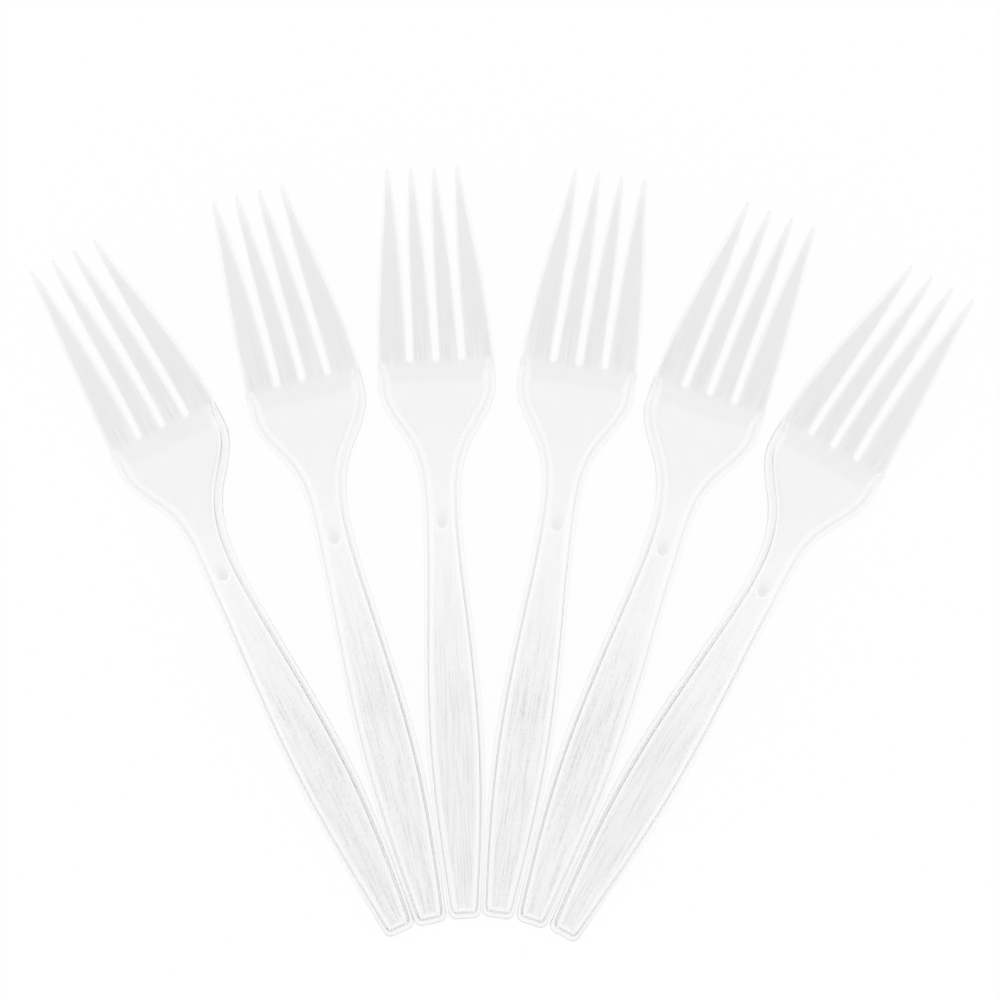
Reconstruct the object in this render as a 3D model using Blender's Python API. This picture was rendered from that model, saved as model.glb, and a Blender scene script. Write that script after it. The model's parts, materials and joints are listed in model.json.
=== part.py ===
"""Six clear plastic forks laid out as a fan, face up, with their handle ends side by side.

Each fork is one moulding: a handle with a raised bead round a sunk panel, a narrow neck,
a broad head and four tines. Lengths are in metres, and the forks lie on the plane Z = 0.
"""

import math

import bmesh
import bpy
import numpy as np
from mathutils import Matrix, Vector

MM = 0.001
SLOPE_STEP = 0.1 * MM
WELD_DISTANCE = 0.001 * MM
SHARP_EDGE_DEG = 30

# Places along one fork, each measured from the one before
HANDLE_END_TO_WIDEST = 44.6 * MM
WIDEST_TO_NECK = 56.0 * MM
NECK_TO_FLARE = 18.6 * MM
FLARE_TO_SHOULDER = 12.0 * MM
SHOULDER_TO_SLOTS = 5.6 * MM
TINE_LENGTH = 43.2 * MM

# Widths of the outline, and how fast it opens where it isn't at a turning point
HANDLE_END_WIDTH = 7.5 * MM
HANDLE_END_FLARE = 0.108
HANDLE_END_CORNER = 0.8 * MM
CORNER_RING_SHARE = 0.3
HANDLE_WIDTH = 14.3 * MM
NECK_WIDTH = 9.3 * MM
FLARE_WIDTH = 19.8 * MM
FLARE_SLOPE = 0.64
SHOULDER_WIDTH = 28.9 * MM
TIP_SPREAD = 17.3 * MM
TIP_TOE_IN = 0.19

# Side view: the handle end lies flat, the neck is arched, the head comes down and the tines rise
END_FLAT = 8.0 * MM
NECK_LIFT = 8.3 * MM
HANDLE_SLOPE = 0.1
NECK_CREST_BACK = 7.0 * MM
NECK_TO_BELLY = 32.5 * MM
TIP_LIFT = 16.5 * MM
TIP_SLOPE = 0.47
HEAD_DISH = 0.8 * MM

# Section of the handle and the head's edge, from the outer edge inwards
END_LIP_WIDTH = 0.85 * MM
HANDLE_LIP_WIDTH = 1.1 * MM
NECK_LIP_WIDTH = 0.95 * MM
FLARE_LIP_WIDTH = 1.6 * MM
SHOULDER_LIP_WIDTH = 1.35 * MM
LIP_THICKNESS = 0.9 * MM
BEAD_WALL_RUN = 0.4 * MM
BEAD_CREST_WIDTH = 0.3 * MM
BEAD_SLOPE_RUN = 1.25 * MM
BEAD_HEIGHT = 2.1 * MM
PANEL_THICKNESS = 1.25 * MM
BEAD_WALL = 1.15 * MM
BEAD_SHARE_OF_HALF = 0.9

# Tines and the slots between them
SLOT_PITCH = 6.46 * MM
SLOT_WIDTH = 1.4 * MM
TIP_SLOT_PITCH = 5.4 * MM
TIP_WIDTH = 0.95 * MM
TINE_TAPER_POWER = 4
TINE_ROOT_THICKNESS = 1.7 * MM
TINE_TIP_THICKNESS = 1.0 * MM
TINE_LAND = 0.35 * MM
TINE_DRAFT = 0.65 * MM
TINE_DRAFT_SHARE = 0.22
OUTER_DRAFT_SHARE = 1.5
TINE_FACE_STEP = 0.3 * MM
TIP_POINT_LENGTH = 0.6 * MM
TIP_POINT_SHARE = 0.5
SLOT_ROOT_SIDES = 5
CUT_MARGIN = 1.0 * MM

# Where rings stand along the tines and the slots, as shares of their length: closer near the tips
TINE_RING_SHARES = (0.15, 0.32, 0.5, 0.66, 0.8, 0.9)
SLOT_RING_SHARES = (0.0, 0.13, 0.3, 0.48, 0.65, 0.79, 0.9)
HANDLE_RINGS = 3
NECK_RINGS = 4
HEAD_RINGS = 3

# The fan: each fork's turn from straight ahead, and its share of the push forward of its neighbour
FAN_TURNS_DEG = (-25.3, -13.4, -3.0, 8.4, 18.7, 29.0)
FAN_PUSH = 0.55 * MM
FAN_PUSH_SHARES = (0.0, -1.0, 0.2, 1.0, 0.5, 1.0)
SIDE_CLEARANCE = 0.3 * MM
REACH_SAMPLES = 400

# Where each named place lies, from the handle end
WIDEST = HANDLE_END_TO_WIDEST
NECK = WIDEST + WIDEST_TO_NECK
FLARE = NECK + NECK_TO_FLARE
SHOULDER = FLARE + FLARE_TO_SHOULDER
SLOTS = SHOULDER + SHOULDER_TO_SLOTS
TIP = SLOTS + TINE_LENGTH
BELLY = NECK + NECK_TO_BELLY

OUTLINE = (
    (0.0, HANDLE_END_WIDTH / 2, HANDLE_END_FLARE),
    (WIDEST, HANDLE_WIDTH / 2, 0.0),
    (NECK, NECK_WIDTH / 2, 0.0),
    (FLARE, FLARE_WIDTH / 2, FLARE_SLOPE),
    (SHOULDER, SHOULDER_WIDTH / 2, 0.0),
    (TIP, TIP_SPREAD / 2, -TIP_TOE_IN),
)
LIP = (
    (0.0, END_LIP_WIDTH, 0.0),
    (WIDEST, HANDLE_LIP_WIDTH, 0.0),
    (NECK, NECK_LIP_WIDTH, 0.0),
    (FLARE, FLARE_LIP_WIDTH, 0.0),
    (SHOULDER, SHOULDER_LIP_WIDTH, 0.0),
)
SPINE = (
    (0.0, 0.0, 0.0),
    (END_FLAT, 0.0, 0.0),
    (NECK - NECK_CREST_BACK, NECK_LIFT, HANDLE_SLOPE),
    (BELLY, 0.0, 0.0),
    (TIP, TIP_LIFT, TIP_SLOPE),
)


def smooth_step(start, end, at):
    """0 before start, 1 after end, and an even S between them."""
    share = min(max((at - start) / (end - start), 0.0), 1.0)
    return share * share * (3 - 2 * share)


def through(knots, at):
    """The curve through knots of (place, value, slope), a cubic between each two."""
    for (p0, v0, m0), (p1, v1, m1) in zip(knots, knots[1:]):
        if at <= p1 or (p1, v1, m1) == knots[-1]:
            break
    span = p1 - p0
    t = (at - p0) / span
    rise = t * t * (3 - 2 * t)
    return v0 * (1 - rise) + v1 * rise + span * t * (1 - t) * (m0 * (1 - t) - m1 * t)


def half_width(at):
    """Half the outline's width, with the handle's end corners rounded and the tips pointed."""
    half = through(OUTLINE, at)
    if at < HANDLE_END_CORNER:
        short = HANDLE_END_CORNER - at
        half -= HANDLE_END_CORNER - math.sqrt(HANDLE_END_CORNER**2 - short**2)
    return half - tip_pointing(at)


def tip_pointing(at):
    """What the pointed end takes off each side of a tine."""
    return TIP_WIDTH / 2 * TIP_POINT_SHARE * max(0.0, 1 - (TIP - at) / TIP_POINT_LENGTH)


def tine_share(at):
    return min(max((at - SLOTS) / TINE_LENGTH, 0.0), 1.0)


def slot_pitch(at):
    return SLOT_PITCH + (TIP_SLOT_PITCH - SLOT_PITCH) * tine_share(at)


def slot_half_gap(at):
    """Half the open gap between two tines at their backs."""
    open_tip = TIP_SLOT_PITCH - TIP_WIDTH
    gap = SLOT_WIDTH + (open_tip - SLOT_WIDTH) * tine_share(at) ** TINE_TAPER_POWER
    return gap / 2 + tip_pointing(at)


def draft(at):
    """How far a tine's side leans in from its back to its face, less where the tine is narrow."""
    tine = slot_pitch(at) - 2 * slot_half_gap(at)
    return min(TINE_DRAFT, TINE_DRAFT_SHARE * tine)


def tine_thickness(at):
    share = tine_share(at)
    return TINE_ROOT_THICKNESS + (TINE_TIP_THICKNESS - TINE_ROOT_THICKNESS) * share


def lift(at, across):
    """Height of the fork's underside: the side view's curve, and the head's shallow dish."""
    dish = HEAD_DISH * smooth_step(NECK, SHOULDER, at)
    return through(SPINE, at) + dish * (across / (SHOULDER_WIDTH / 2)) ** 2


def lip_width(at):
    """How far in from the edge the bead's wall starts."""
    return through(LIP, min(at, SHOULDER))


def bead_profile(inset, at):
    """(top, bottom) of the moulded section this far in from the edge."""
    past_lip = min(inset - lip_width(at), at - END_LIP_WIDTH)
    turns = np.cumsum((0.0, BEAD_WALL_RUN, BEAD_CREST_WIDTH, BEAD_SLOPE_RUN))
    groove = BEAD_HEIGHT - BEAD_WALL
    top = np.interp(past_lip, turns, (LIP_THICKNESS, BEAD_HEIGHT, BEAD_HEIGHT, PANEL_THICKNESS))
    bottom = np.interp(past_lip, turns, (0, groove, groove, 0))
    return top, bottom


def edge_stretch(at):
    """How much longer a line straight across an edge band is than one square to the slanting edge."""
    if not HANDLE_END_CORNER < at < TIP - TIP_POINT_LENGTH:
        return 1.0
    slope = (half_width(at + SLOPE_STEP) - half_width(at - SLOPE_STEP)) / (2 * SLOPE_STEP)
    return math.hypot(1.0, slope)


def section(at):
    """One ring of (across, along, height) round the fork, over the top from the left and back below."""
    square = edge_stretch(at)
    half = half_width(at)
    to_tine = smooth_step(SHOULDER, SLOTS + TINE_DRAFT, at)
    bead_insets = np.cumsum((0.0, lip_width(at), BEAD_WALL_RUN, BEAD_CREST_WIDTH, BEAD_SLOPE_RUN)) * square
    bead_insets *= min(1.0, BEAD_SHARE_OF_HALF * half / bead_insets[-1])
    tine_insets = np.cumsum((0.0, draft(at) * OUTER_DRAFT_SHARE, TINE_FACE_STEP, TINE_FACE_STEP, TINE_FACE_STEP))
    insets = bead_insets + (tine_insets - bead_insets) * to_tine
    tops = []
    bottoms = []
    for number, inset in enumerate(bead_insets):
        top, bottom = bead_profile(inset / square, at)
        tine_top = TINE_LAND if number == 0 else tine_thickness(at)
        tops.append(top + (tine_top - top) * to_tine)
        bottoms.append(bottom * (1 - to_tine))
    centre_top = tops[-1]
    left_top = [(inset - half, top) for inset, top in zip(insets, tops)]
    left_bottom = [(inset - half, bottom) for inset, bottom in zip(insets, bottoms)]
    ring = left_top + [(0.0, centre_top)] + [(-x, z) for x, z in reversed(left_top)]
    ring += [(-x, z) for x, z in left_bottom] + [(0.0, bottoms[-1])] + list(reversed(left_bottom))
    return [(x, at, z + lift(at, x)) for x, z in ring]


def stations():
    """Where the body's rings stand: close together where the form turns quickly."""
    crest = END_LIP_WIDTH + BEAD_WALL_RUN
    panel = crest + BEAD_CREST_WIDTH + BEAD_SLOPE_RUN
    tines = SLOTS + TINE_DRAFT
    places = [0.0, HANDLE_END_CORNER * CORNER_RING_SHARE]
    places += [END_LIP_WIDTH, crest, crest + BEAD_CREST_WIDTH, panel, END_FLAT]
    spans = (
        (END_FLAT, WIDEST, HANDLE_RINGS),
        (WIDEST, NECK, NECK_RINGS),
        (NECK, FLARE, NECK_RINGS),
        (FLARE, SHOULDER, NECK_RINGS),
        (SHOULDER, tines, HEAD_RINGS),
    )
    for start, end, rings in spans:
        places += list(np.linspace(start, end, rings + 1)[1:])
    places += [tines + (TIP - tines) * share for share in TINE_RING_SHARES]
    places += [TIP - TIP_POINT_LENGTH, TIP]
    return places


def loft(name, rings):
    """A closed body through rings of the same number of points."""
    mesh = bmesh.new()
    rows = [[mesh.verts.new(point) for point in ring] for ring in rings]
    count = len(rings[0])
    for low, high in zip(rows, rows[1:]):
        for n in range(count):
            mesh.faces.new((low[n], low[(n + 1) % count], high[(n + 1) % count], high[n]))
    mesh.faces.new(list(reversed(rows[0])))
    mesh.faces.new(rows[-1])
    bmesh.ops.remove_doubles(mesh, verts=mesh.verts, dist=WELD_DISTANCE)
    bmesh.ops.triangulate(mesh, faces=mesh.faces)
    bmesh.ops.recalc_face_normals(mesh, faces=mesh.faces)
    data = bpy.data.meshes.new(name)
    mesh.to_mesh(data)
    mesh.free()
    made = bpy.data.objects.new(name, data)
    bpy.context.scene.collection.objects.link(made)
    return made


def slot_cutter(name, side):
    """What is cut out between two tines: a U that follows the head's curve, wider at its face."""

    def ring(top_at, top_half, bottom_at, bottom_half):
        centre = side * slot_pitch(bottom_at)
        thick = tine_thickness(bottom_at)
        over = (thick + CUT_MARGIN - TINE_LAND) / (thick - TINE_LAND)
        wide = bottom_half + (top_half - bottom_half) * over
        forward = bottom_at + (top_at - bottom_at) * over
        low = lift(bottom_at, centre)
        return [
            (centre - bottom_half, bottom_at, low - CUT_MARGIN),
            (centre + bottom_half, bottom_at, low - CUT_MARGIN),
            (centre + bottom_half, bottom_at, low + TINE_LAND),
            (centre + wide, forward, low + thick + CUT_MARGIN),
            (centre - wide, forward, low + thick + CUT_MARGIN),
            (centre - bottom_half, bottom_at, low + TINE_LAND),
        ]

    back = SLOT_WIDTH / 2
    face = back + TINE_DRAFT
    middle = SLOTS + face
    rings = []
    step = math.pi / SLOT_ROOT_SIDES
    angle = step / 2
    while angle < math.pi / 2 - step / 4:
        run, half = math.cos(angle), math.sin(angle)
        rings.append(ring(middle - face * run, face * half, middle - back * run, back * half))
        angle += step
    places = [middle + (TIP - middle) * share for share in SLOT_RING_SHARES]
    for at in places + [TIP - TIP_POINT_LENGTH, TIP, TIP + CUT_MARGIN]:
        half = slot_half_gap(at)
        rings.append(ring(at, half + draft(at), at, half))
    cutter = loft(name, rings)
    cutter.hide_render = True
    cutter.display_type = "WIRE"
    return cutter


def fork_mesh():
    """One fork, with its handle end on the origin and its tines towards +Y."""
    body = loft("fork_body", [section(at) for at in stations()])
    cutters = [slot_cutter(f"slot_{n}", side) for n, side in enumerate((-1, 0, 1))]
    for cutter in cutters:
        cut = body.modifiers.new(cutter.name, "BOOLEAN")
        cut.operation = "DIFFERENCE"
        cut.object = cutter
    graph = bpy.context.evaluated_depsgraph_get()
    mesh = bpy.data.meshes.new_from_object(body.evaluated_get(graph))
    for helper in [body] + cutters:
        bpy.data.objects.remove(helper, do_unlink=True)
    mesh.name = "fork"
    mesh.shade_smooth()
    mesh.set_sharp_from_angle(angle=math.radians(SHARP_EDGE_DEG))
    return mesh


def clear_plastic():
    """Clear polystyrene, seen as a pale frosted white."""
    material = bpy.data.materials.new("clear_plastic")
    material.use_nodes = True
    shader = material.node_tree.nodes["Principled BSDF"]
    shader.inputs["Base Color"].default_value = (0.86, 0.88, 0.88, 1.0)
    shader.inputs["Roughness"].default_value = 0.25
    shader.inputs["Metallic"].default_value = 0.0
    shader.inputs["IOR"].default_value = 1.58
    shader.inputs["Transmission Weight"].default_value = 0.6
    return material


def side_reach(half_turn):
    """How far the outline reaches towards a line that leans away from the fork by half_turn."""
    places = np.linspace(0.0, TIP, REACH_SAMPLES)
    return max(half_width(at) * math.cos(half_turn) - at * math.sin(half_turn) for at in places)


def fan_places():
    """Each fork's handle end. A fork and the next mirror each other across the line between them."""
    turns = [math.radians(turn) for turn in FAN_TURNS_DEG]
    place = Vector((0.0, 0.0))
    places = [place]
    for before, turn, push in zip(turns, turns[1:], FAN_PUSH_SHARES[1:]):
        middle = (before + turn) / 2
        across = Vector((math.cos(middle), -math.sin(middle)))
        forward = Vector((math.sin(middle), math.cos(middle)))
        apart = 2 * side_reach((turn - before) / 2) + SIDE_CLEARANCE
        place = place + across * apart + forward * FAN_PUSH * push
        places.append(place)
    return list(zip(turns, places))


def main():
    for old in list(bpy.data.objects):
        bpy.data.objects.remove(old, do_unlink=True)
    mesh = fork_mesh()
    mesh.materials.append(clear_plastic())
    points = np.array([vertex.co for vertex in mesh.vertices])
    forks = []
    for number, (turn, place) in enumerate(fan_places(), start=1):
        fork = bpy.data.objects.new(f"fork_{number}", mesh)
        here = Matrix.Translation((place.x, place.y, 0.0))
        fork.matrix_world = here @ Matrix.Rotation(-turn, 4, "Z")
        bpy.context.scene.collection.objects.link(fork)
        forks.append(fork)
    placed = []
    for fork in forks:
        matrix = np.array(fork.matrix_world)
        placed.append(points @ matrix[:3, :3].T + matrix[:3, 3])
    placed = np.concatenate(placed)
    middle = (placed.min(axis=0) + placed.max(axis=0)) / 2
    for fork in forks:
        fork.location -= Vector((middle[0], middle[1], 0.0))


main()
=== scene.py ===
# %% [markdown]
# # Six clear plastic forks, laid out as a fan
#
# The set is six throwaway forks, all from one mould. They lie face up with their handle ends side by
# side, and their tines spread like a hand of cards. Clear plastic has almost no colour of its own, so
# everything that we see of it is shape: how the edges, the bead and the sloped tines bend the light.
# That is why most of this lesson goes into one very exact fork, which we then lay down six times.

# %% Load the frame
import json
import math

import bpy
import numpy as np
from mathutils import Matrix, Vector, geometry

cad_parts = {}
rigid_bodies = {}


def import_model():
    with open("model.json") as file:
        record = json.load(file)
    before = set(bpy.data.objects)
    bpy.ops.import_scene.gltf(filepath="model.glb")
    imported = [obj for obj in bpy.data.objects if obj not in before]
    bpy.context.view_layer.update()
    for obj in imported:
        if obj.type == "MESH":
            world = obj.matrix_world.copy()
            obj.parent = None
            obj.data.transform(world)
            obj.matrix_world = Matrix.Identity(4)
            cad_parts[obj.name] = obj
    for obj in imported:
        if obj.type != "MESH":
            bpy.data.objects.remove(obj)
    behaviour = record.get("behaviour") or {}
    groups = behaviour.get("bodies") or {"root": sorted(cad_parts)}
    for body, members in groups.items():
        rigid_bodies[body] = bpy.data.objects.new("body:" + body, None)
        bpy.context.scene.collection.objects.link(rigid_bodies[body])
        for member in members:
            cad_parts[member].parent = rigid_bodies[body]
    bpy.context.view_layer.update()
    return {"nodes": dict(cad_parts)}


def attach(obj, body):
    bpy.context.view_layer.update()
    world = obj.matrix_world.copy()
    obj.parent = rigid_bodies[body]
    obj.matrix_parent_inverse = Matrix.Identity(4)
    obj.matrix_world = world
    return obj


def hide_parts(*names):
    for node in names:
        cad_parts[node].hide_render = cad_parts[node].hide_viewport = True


MM = 0.001

for old in list(bpy.data.objects):
    bpy.data.objects.remove(old, do_unlink=True)
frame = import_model()
print("solids in the frame:", sorted(frame["nodes"]))

# %% [markdown]
# ## The camera
#
# The picture was taken from straight above and quite near, about 27 cm from the table, so the raised
# tips look a little larger than the handle ends, which lie flat. We could guess a lens and slide the
# camera until the forks fit. It is safer to work from the table: at this height and with this lens one
# pixel in a thousand covers 0.247 mm of it. The picture was cropped slightly off centre, which a small
# shift of the lens repeats without turning the camera.

# %% Camera
CAMERA_HEIGHT = 270 * MM
TABLE_WIDTH_SEEN = 247.2 * MM
SENSOR_WIDTH = 36.0
CAMERA_PLACE = (0.33 * MM, 13.62 * MM)
CROP_SHIFT = (-0.0034, 0.0083)
NEAREST_SEEN = 5 * MM


def make_camera():
    """A camera that looks straight down, with its top edge away from the handles."""
    data = bpy.data.cameras.new("camera")
    data.sensor_width = SENSOR_WIDTH
    data.lens = SENSOR_WIDTH * CAMERA_HEIGHT / TABLE_WIDTH_SEEN
    data.shift_x, data.shift_y = CROP_SHIFT
    data.clip_start = NEAREST_SEEN
    camera = bpy.data.objects.new("camera", data)
    camera.location = (*CAMERA_PLACE, CAMERA_HEIGHT)
    bpy.context.scene.collection.objects.link(camera)
    bpy.context.scene.camera = camera
    return camera


print("lens in mm:", round(make_camera().data.lens, 2))

# %% [markdown]
# ## The shape of one fork, as seen from above and from the side
#
# A moulded fork is drawn twice: its outline from above, and its line from the side. Both are smooth
# curves through a few places that a designer would name: the handle's end, its widest point, the neck,
# the flare of the head, the shoulder and the tips. At each place we give a value and a slope, and a
# cubic joins each two. Fewer places would lose the long taper, and more would make the curve wobble.

# %% Places along one fork
END = -0.45 * MM
END_CORNER = 1.7 * MM
END_FLAT = 8.0 * MM
WIDEST = 44.6 * MM
CREST = 93.6 * MM
NECK = 100.6 * MM
FLARE = 119.2 * MM
SHOULDER = 131.2 * MM
BELLY = 133.1 * MM
SLOTS = 136.8 * MM
TIP = 180.0 * MM
SHOULDER_WIDTH = 28.9 * MM
NECK_LIFT = 8.3 * MM
TIP_LIFT = 16.5 * MM

# Each row is a place along the fork, the value there and its slope
OUTLINE = (
    (0.0, 3.86 * MM, 0.103),
    (WIDEST, 7.15 * MM, 0.0),
    (NECK, 4.65 * MM, 0.0),
    (FLARE, 9.15 * MM, 0.66),
    (SHOULDER, SHOULDER_WIDTH / 2, 0.0),
    (TIP, 8.65 * MM, -0.19),
)
SIDE_VIEW = (
    (0.0, 0.0, 0.0),
    (END_FLAT, 0.0, 0.0),
    (CREST, NECK_LIFT, 0.1),
    (BELLY, 0.0, 0.0),
    (TIP, TIP_LIFT, 0.47),
)
print("places in mm:", [round(at / MM, 1) for at in (END, WIDEST, NECK, FLARE, SHOULDER, SLOTS, TIP)])

# %% Curves through those places
def through(knots, at):
    """The curve through knots of (place, value, slope), a cubic between each two."""
    places, values, slopes = (np.array(column) for column in zip(*knots))
    piece = np.clip(np.searchsorted(places, at, side="right") - 1, 0, len(places) - 2)
    span = places[piece + 1] - places[piece]
    share = (at - places[piece]) / span
    rise = share**2 * (3 - 2 * share)
    bend = share * (1 - share) * (slopes[piece] * (1 - share) - slopes[piece + 1] * share)
    return values[piece] * (1 - rise) + values[piece + 1] * rise + span * bend


def smooth_step(start, end, at):
    """0 before start, 1 after end, and an even S between them."""
    share = np.clip((at - start) / (end - start), 0, 1)
    return share**2 * (3 - 2 * share)


def half_width(at):
    """Half the fork's width, with the corners of the handle's end rounded."""
    short = np.clip(END + END_CORNER - at, 0, END_CORNER)
    return through(OUTLINE, at) - END_CORNER + np.sqrt(END_CORNER**2 - short**2)


print("half widths in mm:", [round(float(half_width(at)) / MM, 2) for at in (END, WIDEST, NECK, SHOULDER)])

# %% [markdown]
# ## Tines and slots
#
# Four tines are what three slots leave over. The slots are 1.4 mm wide at their roots and open slowly,
# then quickly near the tips, so the tines end in points. The slots also lean together, because the
# head grows narrower. We could draw each tine by itself, but a rule for the slots keeps the two tines
# beside a slot in step. Each tine's sides are sloped: a mould can only let go of a part that gets
# narrower towards its face, and on the real fork this slope is the bright or dark line on every tine.

# %% The slots' rule
SLOT_WIDTH = 1.4 * MM
SLOT_PITCH = 6.46 * MM
TIP_SLOT_PITCH = 5.4 * MM
TIP_WIDTH = 0.95 * MM
TAPER_POWER = 4
TINE_DRAFT = 0.65 * MM
DRAFT_SHARE = 0.22
TIP_CAP = 1.0 * MM
SLOT_MIDDLE = SLOTS + SLOT_WIDTH / 2 + TINE_DRAFT


def tine_share(at):
    """0 at the slots' roots and 1 at the tips."""
    return np.clip((at - SLOTS) / (TIP - SLOTS), 0, 1)


def slot_pitch(at):
    """From the middle slot to the one beside it."""
    return SLOT_PITCH + (TIP_SLOT_PITCH - SLOT_PITCH) * tine_share(at)


def slot_half(at):
    """Half a slot's width at the back of the fork."""
    opening = TIP_SLOT_PITCH - TIP_WIDTH - SLOT_WIDTH
    return (SLOT_WIDTH + opening * tine_share(at) ** TAPER_POWER) / 2


def tine_draft(at):
    """How far a tine's side leans in between its back and its face."""
    return np.minimum(TINE_DRAFT, DRAFT_SHARE * (slot_pitch(at) - 2 * slot_half(at)))


print("slot widths in mm:", [round(2 * float(slot_half(at)) / MM, 2) for at in (SLOTS, TIP - 10 * MM, TIP)])

# %% [markdown]
# ## The outline as one closed line
#
# We walk once round the fork, anticlockwise: up the right side, round each tip, down into each slot and
# back. Only the right half is worked out. The left half is its mirror image, so the fork is exactly
# even. Points stand close together on the small curves and at the handle's end, where the bead turns a
# tight corner, and further apart on the long straight sides.

# %% Round turns
ARC_SIDES = 16


def tip_line(right, left):
    """Round one tine's tip from its right side to its left, as half an ellipse."""
    line = []
    for turn in np.linspace(0, math.pi, ARC_SIDES + 1):
        at = TIP - TIP_CAP + TIP_CAP * math.sin(turn)
        middle, half = (right(at) + left(at)) / 2, (right(at) - left(at)) / 2
        line.append((middle + half * math.cos(turn), at))
    return line


def slot_root(side, stop):
    """Round a slot's root, from its right side down and up again."""
    turns = np.linspace(0, stop, int(ARC_SIDES * stop / math.pi) + 1)
    centre, radius = side * slot_pitch(SLOT_MIDDLE), slot_half(SLOT_MIDDLE)
    return [(centre + radius * math.cos(t), SLOT_MIDDLE - radius * math.sin(t)) for t in turns]


print("points round one slot's root:", len(slot_root(1, math.pi)))

# %% Walk round the fork
SIDE_STEP = 0.75 * MM
CORNER_STEP = 0.16 * MM
CORNER_REACH = 5.0 * MM
CORNER_SIDES = 12


def steps(start, end, step):
    """Even places from start to end, without the first one."""
    return np.linspace(start, end, max(2, int(abs(end - start) / step) + 1))[1:]


def side_places():
    """Places along the outer side, close together round the handle's end."""
    turns = np.linspace(0, math.pi / 2, CORNER_SIDES + 1)[1:]
    corner = [END + END_CORNER * (1 - math.cos(turn)) for turn in turns]
    near_end = steps(END + END_CORNER, CORNER_REACH, CORNER_STEP)
    return [*corner, *near_end, *steps(CORNER_REACH, TIP - TIP_CAP, SIDE_STEP)]


def right_half():
    """From the middle of the handle's end to the bottom of the middle slot."""
    def slot_right(at):
        return slot_pitch(at) + slot_half(at)

    def slot_left(at):
        return slot_pitch(at) - slot_half(at)

    down = steps(TIP - TIP_CAP, SLOT_MIDDLE, SIDE_STEP)
    up = steps(SLOT_MIDDLE, TIP - TIP_CAP, SIDE_STEP)
    end_half = half_width(END)
    line = [(across, END) for across in np.linspace(0, end_half, int(end_half / CORNER_STEP))]
    line += [(half_width(at), at) for at in side_places()]
    outer = len(line)
    line += tip_line(half_width, slot_right)[1:]
    line += [(slot_right(at), at) for at in down]
    line += slot_root(1, math.pi)[1:]
    line += [(slot_left(at), at) for at in up]
    line += tip_line(slot_left, slot_half)[1:]
    line += [(slot_half(at), at) for at in down]
    line += slot_root(0, math.pi / 2)[1:]
    return np.array(line), np.arange(len(line)) >= outer


half_line, half_in_slot = right_half()
mirrored = half_line[-2:0:-1] * (-1, 1)
outline = np.concatenate([half_line, mirrored])
in_slot = np.concatenate([half_in_slot, half_in_slot[-2:0:-1]])
print("points round the fork:", len(outline))

# %% [markdown]
# ## Loops that follow the edge
#
# Everything that catches the light on this fork runs along its edge: the thin lip, the steep wall of
# the bead, its narrow crest, the slope down to the sunk panel, and the sloped sides of the tines. A
# plain grid would cross those lines at an angle and leave them ragged. So we copy the outline inwards
# again and again, at the distances where the section turns. Where two sides meet, at the corners of
# the handle's end and near the tips, a copied point would land nearer to the other side than to its
# own. Such points are left out.

# %% Where the section turns
# Widths of the lip and of the bead's steep wall along the fork, again as place, value and slope
LIP_LINE = (
    (END, 1.3 * MM, 0.0),
    (3 * MM, 0.85 * MM, 0.0),
    (WIDEST, 1.1 * MM, 0.0),
    (75 * MM, 0.92 * MM, 0.0),
    (NECK, 1.1 * MM, 0.0),
    (FLARE, 1.15 * MM, 0.01),
    (SHOULDER, 1.2 * MM, 0.0),
)
WALL_LINE = (
    (0.0, 0.35 * MM, 0.0),
    (65 * MM, 0.35 * MM, 0.0),
    (NECK, 0.5 * MM, 0.01),
    (FLARE, 0.8 * MM, 0.0),
    (SHOULDER, 0.6 * MM, 0.0),
)
EVEN_EDGE = 0.22 * MM
LIP_WIDTH = 1.2 * MM
CREST_START = 1.6 * MM
CREST_END = 1.9 * MM
PANEL_START = 3.15 * MM

# Distances of the loops from the edge. Those on the tines are shares of the tine's draft
BEAD_LOOPS = np.array((0, 0.03, 0.1, 0.22, 0.6, 1.1, 1.17, 1.25, 1.34, 1.44, 1.53, 1.62, 1.75, 1.87,
                       1.98, 2.2, 2.6, 2.95, 3.09, 3.2)) * MM
TINE_LOOPS = np.array((0, 0.03, 0.08, 0.16, 0.3, 0.44, 0.56, 0.68, 0.78, 0.86, 0.93, 1.0, 1.07, 1.15,
                       1.24, 1.36, 1.55, 1.8, 2.1, 2.4))


def bead_insets(at):
    """The loops' distances from the edge: the lip's and the wall's stretch, and the rest move along."""
    lip = through(LIP_LINE, np.minimum(at, SHOULDER))[:, None]
    wall = through(WALL_LINE, np.minimum(at, SHOULDER))[:, None]
    on_lip = np.clip((BEAD_LOOPS - EVEN_EDGE) / (LIP_WIDTH - EVEN_EDGE), 0, 1)
    on_wall = np.clip((BEAD_LOOPS - LIP_WIDTH) / (CREST_START - LIP_WIDTH), 0, 1)
    rest = np.minimum(BEAD_LOOPS, EVEN_EDGE) + np.maximum(BEAD_LOOPS - CREST_START, 0)
    return rest + on_lip * (lip - EVEN_EDGE) + on_wall * wall


reach = bead_insets(np.array((WIDEST, NECK, FLARE)))[:, -1]
print("bead's reach inwards in mm, handle, neck and flare:", np.round(reach / MM, 2))

# %% Which way is inwards, and how far off the edge is
POINTS_AT_ONCE = 400


def inward(line):
    """At each point of an anticlockwise line, the direction midway between its two sides' insides.

    A point moved that way by 1 mm stands a little less than 1 mm from both sides. The second result
    is that share.
    """
    side = np.roll(line, -1, axis=0) - line
    side /= np.linalg.norm(side, axis=1)[:, None]
    along = side + np.roll(side, 1, axis=0)
    length = np.linalg.norm(along, axis=1)
    along /= length[:, None]
    return np.column_stack([-along[:, 1], along[:, 0]]), length / 2


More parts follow.
